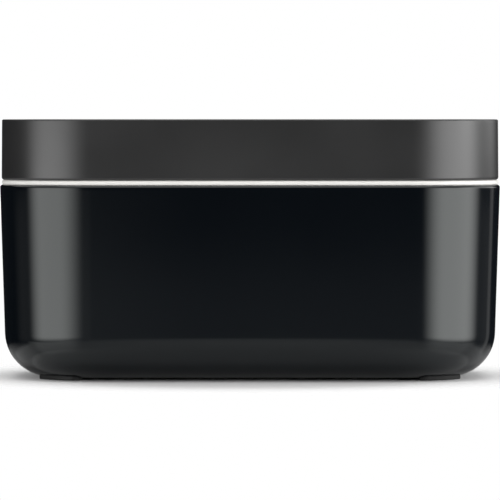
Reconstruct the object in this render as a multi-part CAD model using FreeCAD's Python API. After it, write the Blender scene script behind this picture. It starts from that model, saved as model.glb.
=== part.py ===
import FreeCAD
import Part
import math
import os

Vec = FreeCAD.Vector

# Lunch box: a pressed metal tub on four pads, a tray hung in its mouth, and a lid that lifts off the tray.
# Millimetres. The origin is under the middle of the box, on the surface that it stands on.
# +X runs along the length, -Y faces the front, +Z is up.

# Metal body
body_length = 220.0  # along X, at the rim
body_depth = 120.0  # along Y, at the rim
body_height = 84.2  # underside of the base to the top of the rim
corner_radius = 41.0  # upright corners seen from above, at the rim
wall_draft_deg = 1.8  # outward lean of the walls
base_radius = 19.5  # large round between the base and the walls
sheet = 0.8  # metal thickness
rim_bend = 1.2  # outside radius of both bends of the turned-in rim
rim_ledge = 6.5  # width of the turned-in rim that carries the tray
rim_lip = 5.0  # depth of the lip that is turned down round the mouth

# Pads under the base, one following each corner
foot_height = 1.0  # how far the base stands off the table
foot_width = 7.0  # across the pad
foot_outset = 2.0  # pad's centre line, outside the edge of the flat base
foot_sweep_deg = 46.0  # turn of the pad's centre line, between the centres of its round ends
foot_edge = 0.5  # round along the bottom edge

# Tray that hangs in the mouth
flange_inset = 0.8  # step in from the body's outline to the flange's edge
flange_thickness = 2.2  # its round edge shows as the pale line under the lid
tray_wall = 1.8
tray_depth = 36.0  # below the flange
tray_draft_deg = 4.0
tray_base_radius = 12.0  # outside round at the bottom of the tray
tray_gap = 1.2  # between the tray's wall and the mouth, filled by the seal
tray_seat = 8.0  # upright band of wall under the flange that holds the seal
upstand_height = 6.0  # tray wall above the flange, inside the lid
upstand_fillet = 0.6
partition_thickness = 1.8
partition_flare = 4.0  # round where a partition meets the floor
partition_x = 14.0  # place of the partition that crosses the tray
partition_drop = 2.0  # partitions end this far below the top of the upstand

# Lid
lid_inset = 0.7  # step in from the body's outline to the foot of the lid
lid_height = 26.5
lid_draft_deg = 0.4  # inward lean of its walls
lid_wall = 2.2
lid_top = 2.4
lid_top_edge = 0.7  # small round at the top
lid_foot_edge = 1.2  # round at the bottom
lid_inner_radius = 4.0  # round between the wall and the ceiling inside

# Seal round the inside of the lid
lid_seal_height = 4.4
lid_seal_rise = 1.0  # foot of the lid to the bottom of the seal
lid_seal_groove = 0.6  # how far the seal is let into the wall
lid_seal_body = 1.6  # how far its back stands out of the wall
lid_fin_root = 1.0
lid_fin_tip = 0.6
lid_fin_slope = 0.9  # how far a fin climbs towards its tip

# Seal round the outside of the tray, under the flange
tray_seal_height = 3.2
tray_seal_drop = 1.0  # flange to the top of the seal
tray_seal_groove = 0.5
tray_seal_body = 0.4
tray_fin_root = 0.7
tray_fin_tip = 0.5
tray_fin_slope = 0.3

fin_clearance = 0.3  # left between the tip of a fin and the wall that it wipes

same_point = 1e-6  # points of a section that are nearer than this are one

# Heights
base_z = foot_height
rim_z = base_z + body_height
lid_z = rim_z + flange_thickness
top_z = lid_z + lid_height
upstand_z = lid_z + upstand_height
tray_z = rim_z - tray_depth
partition_z = upstand_z - partition_drop

# Every section below is drawn as (distance out from a corner's upright axis, height).
# The four corner axes stand on this core rectangle.
core_x = body_length / 2 - corner_radius
core_y = body_depth / 2 - corner_radius

# Distances out from the corner axes
wall_slope = math.tan(math.radians(wall_draft_deg))
lid_slope = math.tan(math.radians(lid_draft_deg))
tray_slope = math.tan(math.radians(tray_draft_deg))
base_out = corner_radius - body_height * wall_slope
mouth_out = corner_radius - rim_ledge
flange_out = corner_radius - flange_inset
lid_out = corner_radius - lid_inset
tray_out = mouth_out - tray_gap
base_round = base_radius * math.tan(math.radians(90 - wall_draft_deg) / 2)
flat_base_out = base_out - base_round


def rounded_wire(corners):
    """Closed wire in the XZ plane through (x, z, radius) corners, each rounded by its radius."""
    count = len(corners)
    entries = []
    for i, (x, z, radius) in enumerate(corners):
        here = Vec(x, 0, z)
        before = corners[i - 1]
        after = corners[(i + 1) % count]
        back = (Vec(before[0], 0, before[1]) - here).normalize()
        ahead = (Vec(after[0], 0, after[1]) - here).normalize()
        if radius <= 0:
            entries.append((here, None, here))
            continue
        half_angle = back.getAngle(ahead) / 2
        reach = radius / math.tan(half_angle)
        middle = (back + ahead).normalize()
        crown = here + middle * (radius / math.sin(half_angle) - radius)
        entries.append((here + back * reach, crown, here + ahead * reach))
    edges = []
    for i, (start, crown, end) in enumerate(entries):
        if crown is not None:
            edges.append(Part.Arc(start, crown, end).toShape())
        next_start = entries[(i + 1) % count][0]
        if end.distanceToPoint(next_start) > same_point:
            edges.append(Part.LineSegment(end, next_start).toShape())
    return Part.Wire(edges)


def carried_round(corners, floor=None):
    """Solid made by carrying a section round the box; floor (low, high) fills the core between two heights."""
    section = Part.Face(rounded_wire(corners))
    places = [
        (core_x, core_y, Vec(-2 * core_x, 0, 0)),
        (-core_x, core_y, Vec(0, -2 * core_y, 0)),
        (-core_x, -core_y, Vec(2 * core_x, 0, 0)),
        (core_x, -core_y, Vec(0, 2 * core_y, 0)),
    ]
    pieces = []
    for quarter, (x, y, run) in enumerate(places):
        start = section.copy()
        start.rotate(Vec(0, 0, 0), Vec(0, 0, 1), 90 * quarter)
        start.translate(Vec(x, y, 0))
        pieces.append(start.revolve(Vec(x, y, 0), Vec(0, 0, 1), 90))
        finish = section.copy()
        finish.rotate(Vec(0, 0, 0), Vec(0, 0, 1), 90 * (quarter + 1))
        finish.translate(Vec(x, y, 0))
        pieces.append(finish.extrude(run))
    if floor is not None:
        low, high = floor
        pieces.append(Part.makeBox(2 * core_x, 2 * core_y, high - low, Vec(-core_x, -core_y, low)))
    return pieces[0].fuse(pieces[1:]).removeSplitter()


def body_block():
    """The body's outside, filled."""
    corners = [
        (0, base_z, 0),
        (base_out, base_z, base_radius),
        (corner_radius, rim_z, 0),
        (0, rim_z, 0),
    ]
    return carried_round(corners, (base_z, rim_z))


def make_body_shell():
    """Sheet metal tub: rounded base, leaning wall, rim turned in and then down round the mouth."""
    level_sheet = sheet / math.cos(math.radians(wall_draft_deg))
    inner_bend = max(rim_bend - sheet, 0)
    inner_top = corner_radius - level_sheet - sheet * wall_slope
    inner_base = base_out - level_sheet + sheet * wall_slope
    corners = [
        (0, base_z, 0),
        (base_out, base_z, base_radius),
        (corner_radius, rim_z, rim_bend),
        (mouth_out, rim_z, rim_bend),
        (mouth_out, rim_z - rim_lip, 0),
        (mouth_out + sheet, rim_z - rim_lip, 0),
        (mouth_out + sheet, rim_z - sheet, inner_bend),
        (inner_top, rim_z - sheet, inner_bend),
        (inner_base, base_z + sheet, base_radius - sheet),
        (0, base_z + sheet, 0),
    ]
    return carried_round(corners, (base_z, base_z + sheet))


def make_foot(side_x, side_y, block):
    """Low curved pad under one corner, with its top shaped to the base."""
    middle = flat_base_out + foot_outset
    inner = middle - foot_width / 2
    outer = middle + foot_width / 2
    first = 45 - foot_sweep_deg / 2
    last = 45 + foot_sweep_deg / 2

    def on_arc(radius, angle_deg, turn=0.0):
        angle = math.radians(angle_deg)
        along = Vec(-math.sin(angle), math.cos(angle), 0) * turn
        return Vec(radius * math.cos(angle), radius * math.sin(angle), 0) + along

    edges = [
        Part.Arc(on_arc(outer, first), on_arc(outer, 45), on_arc(outer, last)),
        Part.Arc(on_arc(outer, last), on_arc(middle, last, foot_width / 2), on_arc(inner, last)),
        Part.Arc(on_arc(inner, last), on_arc(inner, 45), on_arc(inner, first)),
        Part.Arc(on_arc(inner, first), on_arc(middle, first, -foot_width / 2), on_arc(outer, first)),
    ]
    outline = Part.Wire([edge.toShape() for edge in edges])
    pad = Part.Face(outline).extrude(Vec(0, 0, base_z + base_radius))
    bottom = [edge for edge in pad.Edges if edge.BoundBox.ZMax < foot_edge]
    pad = pad.makeFillet(foot_edge, bottom)
    if side_x < 0:
        pad = pad.mirror(Vec(0, 0, 0), Vec(1, 0, 0))
    if side_y < 0:
        pad = pad.mirror(Vec(0, 0, 0), Vec(0, 1, 0))
    pad.translate(Vec(side_x * core_x, side_y * core_y, 0))
    return pad.cut(block)


def tray_out_at(z):
    """How far out the tray's outside wall stands at a height."""
    return tray_out - max(rim_z - tray_seat - z, 0) * tray_slope


def partition(length, low, high):
    """Upright strip along X, rounded on top and flared at its foot."""
    half = partition_thickness / 2
    foot = half + partition_flare
    sunk = low - tray_wall / 2
    corners = [
        (-foot, sunk, 0),
        (-foot, low, 0),
        (-half, low, partition_flare),
        (-half, high, half),
        (half, high, half),
        (half, low, partition_flare),
        (foot, low, 0),
        (foot, sunk, 0),
    ]
    strip = Part.Face(rounded_wire(corners)).extrude(Vec(0, length, 0))
    strip.rotate(Vec(0, 0, 0), Vec(0, 0, 1), -90)
    return strip


def make_food_tray():
    """Moulded tray: bowl with a seal groove, round-edged flange, upstand and partitions."""
    seat_z = rim_z - tray_seat
    seal_high = rim_z - tray_seal_drop
    seal_low = seal_high - tray_seal_height
    seal_floor = tray_out - tray_seal_groove
    floor_z = tray_z + tray_wall
    inside = tray_out - tray_wall
    corners = [
        (0, tray_z, 0),
        (tray_out_at(tray_z), tray_z, tray_base_radius),
        (tray_out, seat_z, 0),
        (tray_out, seal_low, 0),
        (seal_floor, seal_low, 0),
        (seal_floor, seal_high, 0),
        (tray_out, seal_high, 0),
        (tray_out, rim_z, 0),
        (flange_out, rim_z, flange_thickness / 2),
        (flange_out, lid_z, flange_thickness / 2),
        (tray_out, lid_z, upstand_fillet),
        (tray_out, upstand_z, tray_wall / 2),
        (inside, upstand_z, tray_wall / 2),
        (inside, seat_z, 0),
        (tray_out_at(floor_z) - tray_wall, floor_z, tray_base_radius - tray_wall),
        (0, floor_z, 0),
    ]
    tray = carried_round(corners, (tray_z, floor_z))

    middle_z = tray_z + tray_wall / 2
    middle_wall = [
        (0, middle_z, 0),
        (tray_out_at(middle_z) - tray_wall / 2, middle_z, tray_base_radius - tray_wall / 2),
        (tray_out - tray_wall / 2, seat_z, 0),
        (tray_out - tray_wall / 2, upstand_z, 0),
        (0, upstand_z, 0),
    ]
    bowl = carried_round(middle_wall, (middle_z, upstand_z))
    long_strip = partition(body_length / 2 - partition_x, floor_z, partition_z)
    long_strip.translate(Vec(partition_x, 0, 0))
    cross_strip = partition(body_depth, floor_z, partition_z)
    cross_strip.rotate(Vec(0, 0, 0), Vec(0, 0, 1), 90)
    cross_strip.translate(Vec(partition_x, -body_depth / 2, 0))
    strips = cross_strip.fuse(long_strip).common(bowl)
    return tray.fuse(strips).removeSplitter()


def finned_ring(back, face, tip, low, high, root, tip_width, slope):
    """Ring seal: a flat back, and two sloping fins between its face and their tips."""
    pitch = (high - low) / 2
    corners = [(back, low, 0), (face, low, 0)]
    for fin in range(2):
        foot = low + pitch * fin + (pitch - root - slope) / 2
        corners.append((face, foot, 0))
        corners.append((tip, foot + slope, 0))
        corners.append((tip, foot + slope + tip_width, 0))
        corners.append((face, foot + root, 0))
    corners.append((face, high, 0))
    corners.append((back, high, 0))
    return carried_round(corners)


def make_tray_seal():
    """Soft ring let into the tray's wall, wiping the lip of the mouth."""
    high = rim_z - tray_seal_drop
    low = high - tray_seal_height
    back = tray_out - tray_seal_groove
    face = tray_out + tray_seal_body
    tip = mouth_out - fin_clearance
    return finned_ring(back, face, tip, low, high, tray_fin_root, tray_fin_tip, tray_fin_slope)


def lid_inside_at(z):
    """How far out the lid's inside wall stands at a height."""
    return lid_out - lid_wall - (z - lid_z) * lid_slope


def lid_seal_back():
    """How far out the floor of the lid's seal groove stands."""
    return lid_inside_at(lid_z + lid_seal_rise) + lid_seal_groove


def make_lid_cover():
    """Lid: one moulded skin, open below, with a groove for its seal."""
    seal_low = lid_z + lid_seal_rise
    seal_high = seal_low + lid_seal_height
    ceiling = top_z - lid_top
    corners = [
        (0, ceiling, 0),
        (lid_inside_at(ceiling), ceiling, lid_inner_radius),
        (lid_inside_at(seal_high), seal_high, 0),
        (lid_seal_back(), seal_high, 0),
        (lid_seal_back(), seal_low, 0),
        (lid_inside_at(seal_low), seal_low, 0),
        (lid_inside_at(lid_z), lid_z, 0),
        (lid_out, lid_z, lid_foot_edge),
        (lid_out - lid_height * lid_slope, top_z, lid_top_edge),
        (0, top_z, 0),
    ]
    return carried_round(corners, (ceiling, top_z))


def make_lid_seal():
    """Soft ring let into the lid's wall, wiping the tray's upstand."""
    low = lid_z + lid_seal_rise
    high = low + lid_seal_height
    face = lid_inside_at(low) - lid_seal_body
    tip = tray_out + fin_clearance
    return finned_ring(lid_seal_back(), face, tip, low, high, lid_fin_root, lid_fin_tip, lid_fin_slope)


block = body_block()
nodes = {
    "body_shell": make_body_shell(),
    "food_tray": make_food_tray(),
    "tray_seal": make_tray_seal(),
    "lid_cover": make_lid_cover(),
    "lid_seal": make_lid_seal(),
}
for end_name, side_y in (("front", -1), ("back", 1)):
    for side_name, side_x in (("left", -1), ("right", 1)):
        nodes["foot_" + end_name + "_" + side_name] = make_foot(side_x, side_y, block)

os.makedirs("parts", exist_ok=True)
for name, shape in nodes.items():
    shape.exportStep("parts/" + name + ".step")
    size = shape.BoundBox
    print(
        name,
        "solids", len(shape.Solids),
        "valid", shape.isValid(),
        "volume", round(shape.Volume, 1),
        "size", round(size.XLength, 2), round(size.YLength, 2), round(size.ZLength, 2),
        "bottom", round(size.ZMin, 2),
    )
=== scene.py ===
import bpy
import bmesh
import math
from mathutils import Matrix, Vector


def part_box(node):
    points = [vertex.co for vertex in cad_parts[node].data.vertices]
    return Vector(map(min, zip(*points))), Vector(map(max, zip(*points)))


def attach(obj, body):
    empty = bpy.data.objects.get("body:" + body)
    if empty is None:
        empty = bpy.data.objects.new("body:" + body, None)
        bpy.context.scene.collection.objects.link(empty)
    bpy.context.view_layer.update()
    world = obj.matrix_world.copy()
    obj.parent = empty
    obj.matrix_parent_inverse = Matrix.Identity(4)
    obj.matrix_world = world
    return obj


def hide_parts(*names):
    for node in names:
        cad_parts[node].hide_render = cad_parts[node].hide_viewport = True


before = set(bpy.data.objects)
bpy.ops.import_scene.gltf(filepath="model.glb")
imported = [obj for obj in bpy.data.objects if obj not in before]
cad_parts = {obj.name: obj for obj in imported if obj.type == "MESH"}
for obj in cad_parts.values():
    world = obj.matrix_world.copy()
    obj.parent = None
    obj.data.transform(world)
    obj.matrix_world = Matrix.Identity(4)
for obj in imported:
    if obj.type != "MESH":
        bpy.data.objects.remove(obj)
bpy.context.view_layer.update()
mm = 0.001
print("frame loaded")

# The box seen from above: every wall follows one core rectangle, with the corner axes at its corners
boxPlan = {
    "length": 220 * mm,  # rim outline
    "depth": 120 * mm,
    "cornerRadius": 41 * mm,
    "cornerSteps": 44,  # faces round each upright corner
    "arcStep": math.radians(6),  # turn between points on the rounds of a section
    "leastArcSteps": 3,
    "support": 1.2 * mm,  # narrow strip beside each round, which keeps the flats flat
    "floorStart": 10 * mm,  # how far out from the core a section through a floor or ceiling starts
    "sharpAngle": math.radians(40),  # edges that turn more than this stay crisp
}
closeness = {
    "onePoint": 1e-7,  # points of a section that are nearer than this are one
    "oneVertex": 1e-6,
    "mirrorSeam": 1e-5,
}
coreX = boxPlan["length"] / 2 - boxPlan["cornerRadius"]
coreY = boxPlan["depth"] / 2 - boxPlan["cornerRadius"]
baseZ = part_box("body_shell")[0].z
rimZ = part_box("body_shell")[1].z
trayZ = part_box("food_tray")[0].z
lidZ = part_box("lid_cover")[0].z
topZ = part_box("lid_cover")[1].z


# Drawing sections

# (out, z, radius) corners to points: a round becomes an arc with a support point on each side
def roundedPath(corners, closed):
    points = []
    count = len(corners)
    for i, (out, z, radius) in enumerate(corners):
        here = Vector((out, z))
        atEnd = not closed and i in (0, count - 1)
        if radius <= 0 or atEnd:
            points.append(here)
            continue
        back = Vector(corners[i - 1][:2]) - here
        ahead = Vector(corners[(i + 1) % count][:2]) - here
        room = min(back.length, ahead.length) / 2
        back.normalize()
        ahead.normalize()
        half = back.angle(ahead) / 2
        reach = radius / math.tan(half)
        centre = here + (back + ahead).normalized() * (radius / math.sin(half))
        turn = math.pi - 2 * half
        start = here + back * reach - centre
        side = 1 if start.cross(here + ahead * reach - centre) > 0 else -1
        steps = max(boxPlan["leastArcSteps"], round(turn / boxPlan["arcStep"]))
        if reach + boxPlan["support"] < room:
            points.append(here + back * (reach + boxPlan["support"]))
        for k in range(steps + 1):
            angle = side * turn * k / steps
            c, s = math.cos(angle), math.sin(angle)
            points.append(centre + Vector((start.x * c - start.y * s, start.x * s + start.y * c)))
        if reach + boxPlan["support"] < room:
            points.append(here + ahead * (reach + boxPlan["support"]))
    kept = [points[0]]
    for point in points[1:]:
        if (point - kept[-1]).length > closeness["onePoint"]:
            kept.append(point)
    if closed and (kept[-1] - kept[0]).length < closeness["onePoint"]:
        kept.pop()
    return kept


# In edit mode, picks the vertices that pass the test, and the edges and faces between them
def selectWhere(piece, test):
    mesh = bmesh.from_edit_mesh(piece.data)
    for face in mesh.faces:
        face.select = False
    for edge in mesh.edges:
        edge.select = False
    for vertex in mesh.verts:
        vertex.select = test(vertex.co)
    mesh.select_flush(True)
    bmesh.update_edit_mesh(piece.data)


# One vertex, extruded point by point along the section, where the +X +Y corner starts
def drawSection(name, corners, closed):
    points = roundedPath(corners, closed)
    bpy.ops.object.select_all(action="DESELECT")
    bpy.ops.mesh.primitive_plane_add(size=1 * mm)
    piece = bpy.context.object
    piece.name = name
    piece.data.name = name
    bpy.ops.object.mode_set(mode="EDIT")
    bpy.ops.mesh.select_all(action="SELECT")
    bpy.ops.mesh.merge(type="CENTER")
    bpy.ops.transform.translate(value=(coreX + points[0].x, coreY, points[0].y))
    for before, after in zip(points, points[1:]):
        step = after - before
        bpy.ops.mesh.extrude_vertices_move(TRANSFORM_OT_translate={"value": (step.x, 0, step.y)})
    if closed:
        first = Vector((coreX + points[0].x, coreY, points[0].y))
        last = Vector((coreX + points[-1].x, coreY, points[-1].y))
        selectWhere(piece, lambda co: min((co - first).length, (co - last).length) < closeness["oneVertex"])
        bpy.ops.mesh.edge_face_add()
    return piece


# Spins the section round one corner, runs it to the middles of the sides and mirrors it
def carryRound(piece, floors):
    support = boxPlan["support"]
    near = closeness["oneVertex"]
    bpy.ops.mesh.select_all(action="SELECT")
    bpy.ops.mesh.spin(  # turns clockwise about its axis, so the axis points down
        steps=boxPlan["cornerSteps"], angle=math.pi / 2, center=(coreX, coreY, 0), axis=(0, 0, -1)
    )
    selectWhere(piece, lambda co: abs(co.x - coreX) < near)
    bpy.ops.mesh.extrude_region_move(TRANSFORM_OT_translate={"value": (-support, 0, 0)})
    bpy.ops.mesh.extrude_region_move(TRANSFORM_OT_translate={"value": (support - coreX, 0, 0)})
    selectWhere(piece, lambda co: abs(co.y - coreY) < near)
    bpy.ops.mesh.extrude_region_move(TRANSFORM_OT_translate={"value": (0, -support, 0)})
    bpy.ops.mesh.extrude_region_move(TRANSFORM_OT_translate={"value": (0, support - coreY, 0)})
    bpy.ops.object.mode_set(mode="OBJECT")
    mirror = piece.modifiers.new("mirror", "MIRROR")
    mirror.use_axis = (True, True, False)
    mirror.merge_threshold = closeness["mirrorSeam"]
    bpy.ops.object.modifier_apply(modifier=mirror.name)
    bpy.ops.object.mode_set(mode="EDIT")
    bpy.ops.mesh.select_all(action="SELECT")
    bpy.ops.mesh.remove_doubles(threshold=near)
    for z in floors:  # closes the open rings in the flat floor
        bpy.ops.mesh.select_mode(type="EDGE")
        bpy.ops.mesh.select_all(action="DESELECT")
        bpy.ops.mesh.select_non_manifold(extend=False)
        mesh = bmesh.from_edit_mesh(piece.data)
        for edge in mesh.edges:
            edge.select = edge.select and abs(edge.verts[0].co.z - z) < near
        mesh.select_flush_mode()
        bmesh.update_edit_mesh(piece.data)
        bpy.ops.mesh.edge_face_add()
        bpy.ops.mesh.select_mode(type="VERT")
    bpy.ops.mesh.select_all(action="SELECT")
    bpy.ops.mesh.normals_make_consistent(inside=False)
    bpy.ops.object.mode_set(mode="OBJECT")


def smoothPiece(piece):
    bpy.ops.object.select_all(action="DESELECT")
    piece.select_set(True)
    bpy.context.view_layer.objects.active = piece
    bpy.ops.object.shade_smooth_by_angle(angle=boxPlan["sharpAngle"])


def setFinish(piece, material):
    piece.data.materials.clear()
    piece.data.materials.append(material)


def dressPiece(piece, body, node, material):
    setFinish(piece, material)
    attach(piece, body)
    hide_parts(node)


# Shared shader effects

grainNoise = {
    "fineDetail": 3.0,
    "fineRoughness": 0.6,
    "patchDetail": 4.0,
    "usualLow": 0.3,  # the noise seldom leaves these two values
    "usualHigh": 0.7,
    "glossSpread": 0.1,  # share by which roughness goes up and down over the patches
}
speckNoise = {"thinningScale": 35.0}  # where specks get larger and smaller
mixSocket = {"factor": 0, "first": 6, "second": 7, "result": 2}  # the colour sockets of a Mix node


def remap(tree, source, fromLow, fromHigh, toLow, toHigh, smooth=False):  # carries one range of values to another
    node = tree.nodes.new("ShaderNodeMapRange")
    if smooth:
        node.interpolation_type = "SMOOTHSTEP"
    limits = {"From Min": fromLow, "From Max": fromHigh, "To Min": toLow, "To Max": toHigh}
    for socketName, value in limits.items():
        node.inputs[socketName].default_value = value
    tree.links.new(source, node.inputs["Value"])
    return node.outputs["Result"]


def combine(tree, operation, first, second):  # one Math node on two values
    node = tree.nodes.new("ShaderNodeMath")
    node.operation = operation
    tree.links.new(first, node.inputs[0])
    tree.links.new(second, node.inputs[1])
    return node.outputs["Value"]


def newGroup(name, inputs, outputs):
    group = bpy.data.node_groups.new(name, "ShaderNodeTree")
    for socketName, kind, value in inputs:
        socket = group.interface.new_socket(name=socketName, in_out="INPUT", socket_type=kind)
        socket.default_value = value
    for socketName, kind in outputs:
        group.interface.new_socket(name=socketName, in_out="OUTPUT", socket_type=kind)
    return group, group.nodes.new("NodeGroupInput"), group.nodes.new("NodeGroupOutput")


def surfaceGrainGroup():  # moulded or sprayed grain: fine height, and slow patches for colour and gloss
    group, given, result = newGroup(
        "surfaceGrain",
        [("Scale", "NodeSocketFloat", 900.0), ("Patch Scale", "NodeSocketFloat", 18.0)],
        [("Height", "NodeSocketFloat"), ("Patches", "NodeSocketFloat")],
    )
    links = group.links
    coord = group.nodes.new("ShaderNodeTexCoord")
    fine = group.nodes.new("ShaderNodeTexNoise")
    fine.inputs["Detail"].default_value = grainNoise["fineDetail"]
    fine.inputs["Roughness"].default_value = grainNoise["fineRoughness"]
    patches = group.nodes.new("ShaderNodeTexNoise")
    patches.inputs["Detail"].default_value = grainNoise["patchDetail"]
    links.new(coord.outputs["Object"], fine.inputs["Vector"])
    links.new(given.outputs["Scale"], fine.inputs["Scale"])
    links.new(coord.outputs["Object"], patches.inputs["Vector"])
    links.new(given.outputs["Patch Scale"], patches.inputs["Scale"])
    links.new(fine.outputs["Fac"], result.inputs["Height"])
    links.new(patches.outputs["Fac"], result.inputs["Patches"])
    return group


def dustGroup():  # sparse pale specks
    group, given, result = newGroup(
        "dust",
        [("Scale", "NodeSocketFloat", 260.0), ("Amount", "NodeSocketFloat", 0.05)],
        [("Mask", "NodeSocketFloat")],
    )
    links = group.links
    coord = group.nodes.new("ShaderNodeTexCoord")
    cells = group.nodes.new("ShaderNodeTexVoronoi")
    cells.feature = "F1"
    thin = group.nodes.new("ShaderNodeTexNoise")
    thin.inputs["Scale"].default_value = speckNoise["thinningScale"]
    links.new(coord.outputs["Object"], cells.inputs["Vector"])
    links.new(given.outputs["Scale"], cells.inputs["Scale"])
    links.new(coord.outputs["Object"], thin.inputs["Vector"])
    size = combine(group, "MULTIPLY", thin.outputs["Fac"], given.outputs["Amount"])
    links.new(combine(group, "LESS_THAN", cells.outputs["Distance"], size), result.inputs["Mask"])
    return group


surfaceGrain = surfaceGrainGroup()
dust = dustGroup()


def placeGroup(material, group, **values):
    node = material.node_tree.nodes.new("ShaderNodeGroup")
    node.node_tree = group
    for socketName, value in values.items():
        node.inputs[socketName.replace("_", " ")].default_value = value
    return node


def colourMix(material, factor, first, second):
    node = material.node_tree.nodes.new("ShaderNodeMix")
    node.data_type = "RGBA"
    for side, colour in (("first", first), ("second", second)):
        socket = node.inputs[mixSocket[side]]
        if isinstance(colour, bpy.types.NodeSocket):
            material.node_tree.links.new(colour, socket)
        else:
            socket.default_value = (*colour, 1)
    material.node_tree.links.new(factor, node.inputs[mixSocket["factor"]])
    return node.outputs[mixSocket["result"]]


def finish(name, look):  # one Principled shader with grain, patches of gloss and dust
    material = bpy.data.materials.new(name)
    material.use_nodes = True
    tree = material.node_tree
    links = tree.links
    shader = tree.nodes["Principled BSDF"]
    grain = placeGroup(material, surfaceGrain, Scale=look["grainScale"], Patch_Scale=look["patchScale"])
    specks = placeGroup(material, dust, Scale=look["dustScale"], Amount=look["dustAmount"])
    patches = grain.outputs["Patches"]
    usual = (grainNoise["usualLow"], grainNoise["usualHigh"])
    spread = remap(tree, patches, *usual, 0, 1)
    colour = colourMix(material, spread, look["colour"], look["colourPatch"])
    colour = colourMix(material, specks.outputs["Mask"], colour, look["dustColour"])
    links.new(colour, shader.inputs["Base Color"])
    smoother = look["roughness"] * (1 - grainNoise["glossSpread"])
    rougher = look["roughness"] * (1 + grainNoise["glossSpread"])
    links.new(remap(tree, patches, *usual, smoother, rougher), shader.inputs["Roughness"])
    bump = tree.nodes.new("ShaderNodeBump")
    bump.inputs["Strength"].default_value = look["grainStrength"]
    bump.inputs["Distance"].default_value = look["grainDepth"]
    links.new(grain.outputs["Height"], bump.inputs["Height"])
    links.new(bump.outputs["Normal"], shader.inputs["Normal"])
    shader.inputs["IOR"].default_value = look["ior"]
    shader.inputs["Specular Tint"].default_value = (*look["tint"], 1)
    return material


lacquerLook = {
    "colour": (0.0022, 0.0033, 0.0048), "colourPatch": (0.0028, 0.0040, 0.0056),
    "ior": 1.47, "tint": (0.965, 1.0, 0.98),
    "roughness": 0.12, "patchScale": 14, "grainScale": 420, "grainStrength": 0.05, "grainDepth": 0.02 * mm,
    "dustScale": 240, "dustAmount": 0.035, "dustColour": (0.02, 0.02, 0.02),
}
charcoalLook = {
    "colour": (0.018, 0.018, 0.018), "colourPatch": (0.021, 0.021, 0.021),
    "ior": 1.57, "tint": (1, 1, 1),
    "roughness": 0.34, "patchScale": 22, "grainScale": 2600, "grainStrength": 0.25, "grainDepth": 0.03 * mm,
    "dustScale": 300, "dustAmount": 0.04, "dustColour": (0.06, 0.06, 0.06),
}
ivoryLook = {
    "colour": (0.92, 0.91, 0.875), "colourPatch": (0.90, 0.89, 0.855),
    "ior": 1.47, "tint": (1, 1, 1),
    "roughness": 0.34, "patchScale": 16, "grainScale": 1500, "grainStrength": 0.08, "grainDepth": 0.02 * mm,
    "dustScale": 200, "dustAmount": 0.03, "dustColour": (0.70, 0.69, 0.65),
}
rubberLook = {
    "colour": (0.015, 0.015, 0.015), "colourPatch": (0.018, 0.018, 0.018),
    "ior": 1.45, "tint": (1, 1, 1),
    "roughness": 0.75, "patchScale": 60, "grainScale": 2200, "grainStrength": 0.3, "grainDepth": 0.03 * mm,
    "dustScale": 400, "dustAmount": 0.08, "dustColour": (0.05, 0.05, 0.05),
}
siliconeLook = {
    "colour": (0.42, 0.43, 0.44), "colourPatch": (0.38, 0.39, 0.40),
    "ior": 1.41, "tint": (1, 1, 1),
    "roughness": 0.5, "patchScale": 40, "grainScale": 1800, "grainStrength": 0.1, "grainDepth": 0.02 * mm,
    "dustScale": 300, "dustAmount": 0.05, "dustColour": (0.55, 0.55, 0.55),
}
lacquer = finish("blackLacquer", lacquerLook)
charcoal = finish("charcoalPlastic", charcoalLook)
ivory = finish("ivoryPlastic", ivoryLook)
rubber = finish("blackRubber", rubberLook)
silicone = finish("greySilicone", siliconeLook)
print("finishes made")


# Body: sheet metal tub with a rim turned in and down

tub = {
    "draft": math.radians(1.8),
    "baseRadius": 19.5 * mm,
    "sheet": 0.8 * mm,
    "rimBend": 1.2 * mm,
    "rimLedge": 6.5 * mm,
    "rimLip": 5 * mm,
    "floorStrips": 4,  # support widths between the base round and the floor's edge
}


def makeTub():
    slope = math.tan(tub["draft"])
    sheet = tub["sheet"]
    level = sheet / math.cos(tub["draft"])
    rimOut = boxPlan["cornerRadius"]
    baseOut = rimOut - (rimZ - baseZ) * slope
    flatOut = baseOut - tub["baseRadius"] * math.tan((math.pi / 2 - tub["draft"]) / 2)
    mouthOut = rimOut - tub["rimLedge"]
    innerBend = tub["rimBend"] - sheet
    startOut = flatOut - tub["floorStrips"] * boxPlan["support"]
    corners = [
        (startOut, baseZ, 0),
        (baseOut, baseZ, tub["baseRadius"]),
        (rimOut, rimZ, tub["rimBend"]),
        (mouthOut, rimZ, tub["rimBend"]),
        (mouthOut, rimZ - tub["rimLip"], 0),
        (mouthOut + sheet, rimZ - tub["rimLip"], 0),
        (mouthOut + sheet, rimZ - sheet, innerBend),
        (rimOut - level - sheet * slope, rimZ - sheet, innerBend),
        (baseOut - level + sheet * slope, baseZ + sheet, tub["baseRadius"] - sheet),
        (startOut, baseZ + sheet, 0),
    ]
    piece = drawSection("bodyShell", corners, False)
    carryRound(piece, (baseZ, baseZ + sheet))
    smoothPiece(piece)
    dressPiece(piece, "body", "body_shell", lacquer)
    print("body made,", len(piece.data.polygons), "faces")
    return mouthOut


mouthOut = makeTub()  # the tray hangs inside this


# Lid: one matte skin, open below

lidLook = {
    "inset": 0.7 * mm,
    "draft": math.radians(0.4),
    "wall": 2.2 * mm,
    "top": 2.4 * mm,
    "topEdge": 0.7 * mm,
    "footEdge": 1.2 * mm,
    "innerRadius": 4 * mm,
    "sealRise": 1 * mm,
    "sealHeight": 4.4 * mm,
    "sealGroove": 0.6 * mm,
}


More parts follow.
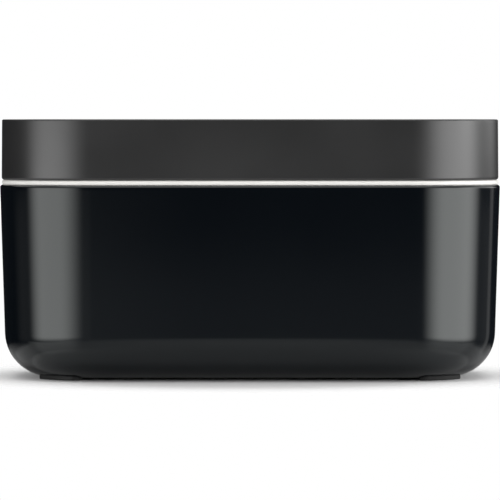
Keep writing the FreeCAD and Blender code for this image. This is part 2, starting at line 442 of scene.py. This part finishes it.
def makeLid():
    slope = math.tan(lidLook["draft"])
    lidOut = boxPlan["cornerRadius"] - lidLook["inset"]
    ceiling = topZ - lidLook["top"]
    sealLow = lidZ + lidLook["sealRise"]
    sealHigh = sealLow + lidLook["sealHeight"]
    startOut = boxPlan["floorStart"]

    def insideAt(z):
        return lidOut - lidLook["wall"] - (z - lidZ) * slope

    grooveOut = insideAt(sealLow) + lidLook["sealGroove"]
    corners = [
        (startOut, ceiling, 0),
        (insideAt(ceiling), ceiling, lidLook["innerRadius"]),
        (insideAt(sealHigh), sealHigh, 0),
        (grooveOut, sealHigh, 0),
        (grooveOut, sealLow, 0),
        (insideAt(sealLow), sealLow, 0),
        (insideAt(lidZ), lidZ, 0),
        (lidOut, lidZ, lidLook["footEdge"]),
        (lidOut - (topZ - lidZ) * slope, topZ, lidLook["topEdge"]),
        (startOut, topZ, 0),
    ]
    piece = drawSection("lidCover", corners, False)
    carryRound(piece, (ceiling, topZ))
    smoothPiece(piece)
    dressPiece(piece, "lid", "lid_cover", charcoal)
    print("lid made,", len(piece.data.polygons), "faces")


makeLid()


# Tray: bowl, round-edged flange, upstand and partitions

trayShape = {
    "flangeInset": 0.8 * mm,
    "wall": 1.8 * mm,
    "gap": 1.2 * mm,
    "draft": math.radians(4),
    "seat": 8 * mm,
    "baseRadius": 12 * mm,
    "upstandFillet": 0.6 * mm,
    "sealDrop": 1 * mm,
    "sealHeight": 3.2 * mm,
    "sealGroove": 0.5 * mm,
    "partitionX": 14 * mm,
    "partitionThickness": 1.8 * mm,
    "partitionFlare": 4 * mm,
    "partitionDrop": 2 * mm,
    "partitionRoot": 1.44 * mm,  # reach into the floor, before the bowl's space trims it
    "partitionSink": 0.05 * mm,  # the flares start under the floor, so that they meet it at an angle
    "partitionNudge": 0.04 * mm,  # keeps the edges of the two strips from meeting point on point
}


def makeTray():
    slope = math.tan(trayShape["draft"])
    wall = trayShape["wall"]
    trayOut = mouthOut - trayShape["gap"]
    flangeOut = boxPlan["cornerRadius"] - trayShape["flangeInset"]
    flangeRound = (lidZ - rimZ) / 2
    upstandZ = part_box("food_tray")[1].z
    seatZ = rimZ - trayShape["seat"]
    sealHigh = rimZ - trayShape["sealDrop"]
    sealLow = sealHigh - trayShape["sealHeight"]
    floorZ = trayZ + wall
    startOut = boxPlan["floorStart"]

    def outAt(z):
        return trayOut - (seatZ - z) * slope

    corners = [
        (startOut, trayZ, 0),
        (outAt(trayZ), trayZ, trayShape["baseRadius"]),
        (trayOut, seatZ, 0),
        (trayOut, sealLow, 0),
        (trayOut - trayShape["sealGroove"], sealLow, 0),
        (trayOut - trayShape["sealGroove"], sealHigh, 0),
        (trayOut, sealHigh, 0),
        (trayOut, rimZ, 0),
        (flangeOut, rimZ, flangeRound),
        (flangeOut, lidZ, flangeRound),
        (trayOut, lidZ, trayShape["upstandFillet"]),
        (trayOut, upstandZ, wall / 2),
        (trayOut - wall, upstandZ, wall / 2),
        (trayOut - wall, seatZ, 0),
        (outAt(floorZ) - wall, floorZ, trayShape["baseRadius"] - wall),
        (startOut, floorZ, 0),
    ]
    piece = drawSection("foodTray", corners, False)
    carryRound(piece, (trayZ, floorZ))
    middleZ = trayZ + wall / 2
    bowlCorners = [
        (startOut, middleZ, 0),
        (outAt(middleZ) - wall / 2, middleZ, trayShape["baseRadius"] - wall / 2),
        (trayOut - wall / 2, seatZ, 0),
        (trayOut - wall / 2, upstandZ, 0),
        (startOut, upstandZ, 0),
    ]
    bowl = drawSection("bowlSpace", bowlCorners, False)
    carryRound(bowl, (middleZ, upstandZ))
    partitions = makePartitions(floorZ, upstandZ - trayShape["partitionDrop"])
    joinBoolean(partitions, bowl, "INTERSECT")
    joinBoolean(piece, partitions, "UNION")
    smoothPiece(piece)
    dressPiece(piece, "tray", "food_tray", ivory)
    print("tray made,", len(piece.data.polygons), "faces")


def joinBoolean(piece, other, operation):
    bpy.ops.object.select_all(action="DESELECT")
    bpy.context.view_layer.objects.active = piece
    piece.select_set(True)
    cut = piece.modifiers.new("cut", "BOOLEAN")
    cut.operation = operation
    cut.solver = "MANIFOLD"  # chosen so that the tray comes out as one closed solid
    cut.object = other
    bpy.ops.object.modifier_apply(modifier=cut.name)
    bpy.data.objects.remove(other)


def drawStrip(name, low, high, length):  # upright strip along Y from 0, rounded on top and flared at its foot
    half = trayShape["partitionThickness"] / 2
    foot = half + trayShape["partitionFlare"]
    sunk = low - trayShape["partitionRoot"]
    footZ = low - trayShape["partitionSink"]
    corners = [
        (-foot, sunk, 0),
        (-foot, footZ, 0),
        (-half, footZ, trayShape["partitionFlare"]),
        (-half, high, half),
        (half, high, half),
        (half, footZ, trayShape["partitionFlare"]),
        (foot, footZ, 0),
        (foot, sunk, 0),
    ]
    piece = drawSection(name, corners, True)
    bpy.ops.mesh.select_all(action="SELECT")
    bpy.ops.transform.translate(value=(-coreX, -coreY, 0))
    bpy.ops.mesh.edge_face_add()
    bpy.ops.mesh.extrude_region_move(TRANSFORM_OT_translate={"value": (0, length, 0)})
    bpy.ops.mesh.select_all(action="SELECT")
    bpy.ops.mesh.normals_make_consistent(inside=False)
    return piece


def makePartitions(low, high):
    cross = drawStrip("crossPartition", low, high, boxPlan["depth"])
    bpy.ops.transform.translate(value=(trayShape["partitionX"], -boxPlan["depth"] / 2, 0))
    bpy.ops.object.mode_set(mode="OBJECT")
    nudge = trayShape["partitionNudge"]
    length = boxPlan["length"] / 2 - trayShape["partitionX"]
    lengthwise = drawStrip("longPartition", low - nudge, high - nudge, length)
    bpy.ops.transform.rotate(value=math.pi / 2, orient_axis="Z", center_override=(0, 0, 0))
    mesh = bmesh.from_edit_mesh(lengthwise.data)
    reachesLeft = min(vertex.co.x for vertex in mesh.verts) < -1 * mm
    if reachesLeft:
        bpy.ops.transform.rotate(value=math.pi, orient_axis="Z", center_override=(0, 0, 0))
    bpy.ops.transform.translate(value=(trayShape["partitionX"], nudge, 0))
    bpy.ops.object.mode_set(mode="OBJECT")
    joinBoolean(cross, lengthwise, "UNION")
    return cross


makeTray()


# CAD pieces that stay: pads and seals

for nodeName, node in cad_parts.items():
    if nodeName.startswith("foot_"):
        setFinish(node, rubber)
    if nodeName.endswith("_seal"):
        setFinish(node, silicone)
print("pads and seals finished")


# Stage: pale table with a soft edge, and a dark surround that only reflections see

stageSet = {
    "tableHalfLength": 0.17,
    "tableHalfDepth": 0.17,
    "tableSoftEdge": 0.45,  # shares of the way out where the edge starts to fade, and where it is gone
    "tableEnd": 0.99,
    "tableColour": (0.88, 0.88, 0.88),
    "tableRoughness": 0.9,
    "tableLift": 0.35,  # glow that keeps the floor near white where it is seen
    "liftFrom": 0.52,  # shares of the way out between which that glow comes in, clear of the box's own shadow
    "liftFull": 0.9,
    "ringSteps": 96,  # faces round the table and the surround
    "surroundRadius": 2.6,
    "surroundLow": -2.0,
    "surroundHigh": 1.6,
    "surroundColour": (0.009, 0.010, 0.012),
    "surroundPale": (0.155, 0.16, 0.17),
    "paleFrom": -0.21,  # heights between which it turns paler, in front of the box
    "paleFull": -0.31,
    "paleSide": -0.4,  # how far forward that starts, and where it is full
    "paleFront": -1.6,
}


# 1 where the camera, a reflection or glass looks, 0 for the light that falls on things
def seenDirectly(tree):
    path = tree.nodes.new("ShaderNodeLightPath")
    seen = path.outputs["Is Camera Ray"]
    for other in ("Is Glossy Ray", "Is Transmission Ray"):
        seen = combine(tree, "MAXIMUM", seen, path.outputs[other])
    return seen


def makeTable():
    bpy.ops.object.select_all(action="DESELECT")
    halfLength, halfDepth = stageSet["tableHalfLength"], stageSet["tableHalfDepth"]
    bpy.ops.mesh.primitive_circle_add(vertices=stageSet["ringSteps"], radius=1, fill_type="NGON")
    table = bpy.context.object
    table.name = "table"
    bpy.ops.object.mode_set(mode="EDIT")
    bpy.ops.transform.resize(value=(halfLength, halfDepth, 1))
    bpy.ops.object.mode_set(mode="OBJECT")
    material = bpy.data.materials.new("tableWhite")
    material.use_nodes = True
    tree = material.node_tree
    shader = tree.nodes["Principled BSDF"]
    shader.inputs["Base Color"].default_value = (*stageSet["tableColour"], 1)
    shader.inputs["Roughness"].default_value = stageSet["tableRoughness"]
    shader.inputs["Specular IOR Level"].default_value = 0.0
    shader.inputs["Emission Color"].default_value = (1, 1, 1, 1)
    coord = tree.nodes.new("ShaderNodeTexCoord")
    even = tree.nodes.new("ShaderNodeMapping")
    even.inputs["Scale"].default_value = (1 / halfLength, 1 / halfDepth, 1)
    tree.links.new(coord.outputs["Object"], even.inputs["Vector"])
    distance = tree.nodes.new("ShaderNodeVectorMath")
    distance.operation = "LENGTH"
    tree.links.new(even.outputs["Vector"], distance.inputs[0])
    wayOut = distance.outputs["Value"]
    fade = remap(tree, wayOut, stageSet["tableSoftEdge"], stageSet["tableEnd"], 1, 0, smooth=True)
    tree.links.new(fade, shader.inputs["Alpha"])
    outside = remap(
        tree, wayOut, stageSet["liftFrom"], stageSet["liftFull"], 0, stageSet["tableLift"], smooth=True
    )
    lift = combine(tree, "MULTIPLY", outside, seenDirectly(tree))
    tree.links.new(lift, shader.inputs["Emission Strength"])
    table.data.materials.append(material)


def makeSurround():
    bpy.ops.object.select_all(action="DESELECT")
    height = stageSet["surroundHigh"] - stageSet["surroundLow"]
    middle = (stageSet["surroundHigh"] + stageSet["surroundLow"]) / 2
    bpy.ops.mesh.primitive_cylinder_add(
        vertices=stageSet["ringSteps"], radius=stageSet["surroundRadius"], depth=height,
        end_fill_type="NOTHING", location=(0, 0, middle)
    )
    surround = bpy.context.object
    surround.name = "surround"
    material = bpy.data.materials.new("surroundDark")
    material.use_nodes = True
    tree = material.node_tree
    tree.nodes.remove(tree.nodes["Principled BSDF"])
    glow = tree.nodes.new("ShaderNodeEmission")
    tree.links.new(glow.outputs["Emission"], tree.nodes["Material Output"].inputs["Surface"])
    place = tree.nodes.new("ShaderNodeNewGeometry")
    split = tree.nodes.new("ShaderNodeSeparateXYZ")
    tree.links.new(place.outputs["Position"], split.inputs["Vector"])
    low = remap(tree, split.outputs["Z"], stageSet["paleFrom"], stageSet["paleFull"], 0, 1)
    inFront = remap(tree, split.outputs["Y"], stageSet["paleSide"], stageSet["paleFront"], 0, 1)
    pale = combine(tree, "MULTIPLY", low, inFront)
    shade = colourMix(material, pale, stageSet["surroundColour"], stageSet["surroundPale"])
    tree.links.new(shade, glow.inputs["Color"])
    surround.data.materials.append(material)
    surround.visible_camera = False
    surround.visible_diffuse = False
    surround.visible_shadow = False


makeTable()
makeSurround()
print("stage set")


# Light: soft panels stand round the box, each faded at its edges, and one lies above it.
# leftPanel and rightPanel make the bright strips on the front corners, rightBack lights the lid's right end,
# and the weaker ones lift the lower rounds and the edges beside the strips.
# Angles in degrees are turned from the camera's side of the box, right positive; heights are in metres.

panels = [
    {
        "name": "leftPanel", "distance": 1.3, "glow": 3.6,
        "from": -12, "full": -44, "fading": -65, "to": -88.5,
        "low": -0.42, "lowFull": -0.18, "highFull": 0.37, "high": 0.38,
    },
    {
        "name": "leftFoot", "distance": 1.3, "glow": 1.1,
        "from": -12, "full": -40, "fading": -72, "to": -98,
        "low": -1.4, "lowFull": -0.9, "highFull": -0.42, "high": -0.36,
    },
    {
        "name": "leftUnder", "distance": 1.3, "glow": 0.65,
        "from": -84, "full": -102, "fading": -138, "to": -156,
        "low": -1.4, "lowFull": -1.0, "highFull": -0.54, "high": -0.38,
    },
    {
        "name": "leftSkirt", "distance": 1.3, "glow": 0.18,
        "from": -2, "full": -8, "fading": -16, "to": -30,
        "low": -0.42, "lowFull": -0.18, "highFull": 0.01, "high": 0.02,
    },
    {
        "name": "leftRim", "distance": 1.3, "glow": 0.14,
        "from": -78, "full": -88, "fading": -96, "to": -116,
        "low": -0.42, "lowFull": -0.18, "highFull": 0.01, "high": 0.02,
    },
    {
        "name": "rightPanel", "distance": 1.3, "glow": 4.5,
        "from": 19, "full": 48, "fading": 76, "to": 102,
        "low": -0.45, "lowFull": -0.2, "highFull": 0.41, "high": 0.42,
    },
    {
        "name": "rightFoot", "distance": 1.3, "glow": 1.1,
        "from": 19, "full": 44, "fading": 82, "to": 106,
        "low": -1.4, "lowFull": -0.9, "highFull": -0.45, "high": -0.39,
    },
    {
        "name": "rightUnder", "distance": 1.3, "glow": 0.55,
        "from": 92, "full": 108, "fading": 138, "to": 156,
        "low": -1.4, "lowFull": -1.0, "highFull": -0.56, "high": -0.40,
    },
    {
        "name": "rightRim", "distance": 1.3, "glow": 0.14,
        "from": 88, "full": 100, "fading": 116, "to": 126,
        "low": -0.42, "lowFull": -0.18, "highFull": 0.01, "high": 0.02,
    },
    {
        "name": "rightEdge", "distance": 1.6, "glow": 0.34,
        "from": 121, "full": 124, "fading": 130, "to": 133,
        "low": -0.7, "lowFull": -0.69, "highFull": 1.29, "high": 1.3,
    },
    {
        "name": "rightBack", "distance": 1.5, "glow": 1.8,
        "from": 62, "full": 80, "fading": 118, "to": 148,
        "low": 0.08, "lowFull": 0.09, "highFull": 0.89, "high": 0.9,
    },
]
topPanel = {"size": 1.6, "z": 1.7, "glow": 2.1}
ambient = {"colour": (1, 1, 1), "strength": 0.17}
panelMiddle = 0.5  # halfway along a panel's own 0 to 1


def fadeAlong(tree, source, stops):  # brings the light in and out along one side of a panel
    ramp = tree.nodes.new("ShaderNodeValToRGB")
    ramp.color_ramp.interpolation = "EASE"
    while len(ramp.color_ramp.elements) < len(stops):
        ramp.color_ramp.elements.new(panelMiddle)  # moved to its place below
    for element, (place, level) in zip(ramp.color_ramp.elements, sorted(stops)):
        element.position = place
        element.color = (level, level, level, 1)
    tree.links.new(source, ramp.inputs["Fac"])
    return ramp.outputs["Color"]


def makePanel(panel):
    first, last = math.radians(panel["from"]), math.radians(panel["to"])
    middle = (first + last) / 2
    width = 2 * panel["distance"] * math.tan(abs(last - first) / 2)
    height = panel["high"] - panel["low"]
    z = (panel["high"] + panel["low"]) / 2
    lamp = bpy.data.lights.new(panel["name"], "AREA")
    lamp.shape = "RECTANGLE"
    lamp.size = width
    lamp.size_y = height
    lamp.energy = panel["glow"] * math.pi * width * height
    lamp.use_nodes = True
    tree = lamp.node_tree
    place = tree.nodes.new("ShaderNodeNewGeometry")
    split = tree.nodes.new("ShaderNodeSeparateXYZ")
    tree.links.new(place.outputs["Parametric"], split.inputs["Vector"])
    across = []
    for key, level in (("from", 0), ("full", 1), ("fading", 1), ("to", 0)):
        turned = math.radians(panel[key]) - middle
        across.append((math.tan(turned) * panel["distance"] / width + panelMiddle, level))
    upright = []
    for key, level in (("low", 0), ("lowFull", 1), ("highFull", 1), ("high", 0)):
        upright.append(((panel[key] - panel["low"]) / height, level))
    sideFade = fadeAlong(tree, split.outputs["X"], across)
    endFade = fadeAlong(tree, split.outputs["Y"], upright)
    tree.links.new(combine(tree, "MULTIPLY", sideFade, endFade), tree.nodes["Emission"].inputs["Strength"])
    holder = bpy.data.objects.new(panel["name"], lamp)
    bpy.context.scene.collection.objects.link(holder)
    holder.location = (math.sin(middle) * panel["distance"], -math.cos(middle) * panel["distance"], z)
    aim = Vector((0, 0, z)) - Vector(holder.location)
    holder.rotation_euler = aim.to_track_quat("-Z", "Y").to_euler()


def makeTop():
    lamp = bpy.data.lights.new("topPanel", "AREA")
    lamp.shape = "SQUARE"
    lamp.size = topPanel["size"]
    lamp.energy = topPanel["glow"] * math.pi * topPanel["size"] ** 2
    holder = bpy.data.objects.new("topPanel", lamp)
    bpy.context.scene.collection.objects.link(holder)
    holder.location = (0, 0, topPanel["z"])


# White where the camera, reflections or glass look past everything, a soft fill otherwise
def makeWorld():
    world = bpy.data.worlds.new("studio")
    bpy.context.scene.world = world
    world.use_nodes = True
    tree = world.node_tree
    background = tree.nodes["Background"]
    level = remap(tree, seenDirectly(tree), 0, 1, ambient["strength"], 1)
    tree.links.new(level, background.inputs["Strength"])
    background.inputs["Color"].default_value = (*ambient["colour"], 1)


for panel in panels:
    makePanel(panel)
makeTop()
makeWorld()
print("light set")


# Camera: two metres in front, just under the level of the lid's top and looking a little down

view = {
    "place": (0, -2.06, 0.109),
    "aim": (0, -0.06, 0.05745),
    "lens": 333.7,
    "farEnd": 50,
}


def makeCamera():
    lens = bpy.data.cameras.new("camera")
    lens.lens = view["lens"]
    lens.clip_end = view["farEnd"]
    camera = bpy.data.objects.new("camera", lens)
    bpy.context.scene.collection.objects.link(camera)
    camera.location = view["place"]
    aim = Vector(view["aim"]) - Vector(view["place"])
    camera.rotation_euler = aim.to_track_quat("-Z", "Y").to_euler()
    bpy.context.scene.camera = camera


makeCamera()
bpy.context.scene.view_settings.view_transform = "Standard"
print("camera set")
